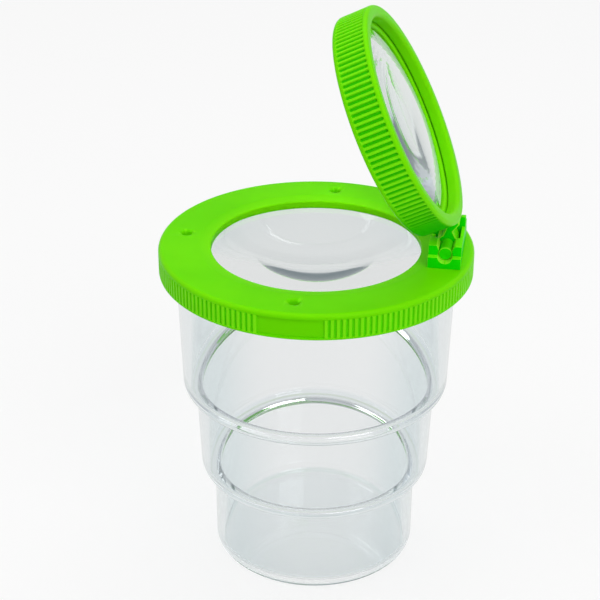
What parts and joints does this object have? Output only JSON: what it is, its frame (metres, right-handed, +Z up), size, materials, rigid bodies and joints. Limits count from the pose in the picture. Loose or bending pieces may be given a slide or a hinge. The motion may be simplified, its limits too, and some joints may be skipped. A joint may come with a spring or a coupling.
{
  "type": "bug catcher jar",
  "caption": "Clear stepped viewing jar with a knurled push-on lid that holds a large magnifier lens and carries a smaller hinged magnifier.",
  "frame": {"origin": "centre of the flat underside of the jar", "axes": "+Z up along the jar's axis, +X towards the hinge of the small magnifier, whose axis runs along Y"},
  "size_m": [0.068, 0.068, 0.1272],
  "materials": {
    "clear_jar": "clear moulded polystyrene, polished",
    "clear_lens": "clear moulded acrylic lens, polished",
    "green_lid": "bright leaf green, self-coloured, glossy as moulded",
    "green_ring": "bright leaf green, self-coloured, glossy as moulded"
  },
  "bodies": {
    "jar": {"jar": "clear_jar"},
    "lid": {"lid": "green_lid", "lid_lens": "clear_lens"},
    "flip_magnifier": {"flip_ring": "green_ring", "flip_lens": "clear_lens", "flip_lens_retainer": "green_ring"}
  },
  "joints": [
    {"name": "lid_lift", "type": "slide", "parent": "jar", "child": "lid", "axis": [0, 0, 1], "range_m": [0, 0.06]},
    {"name": "magnifier_flip", "type": "hinge", "parent": "lid", "child": "flip_magnifier", "pos_m": [0.0283, 0, 0.07815], "axis": [0, 1, 0], "range_deg": [-64, 20]}
  ]
}
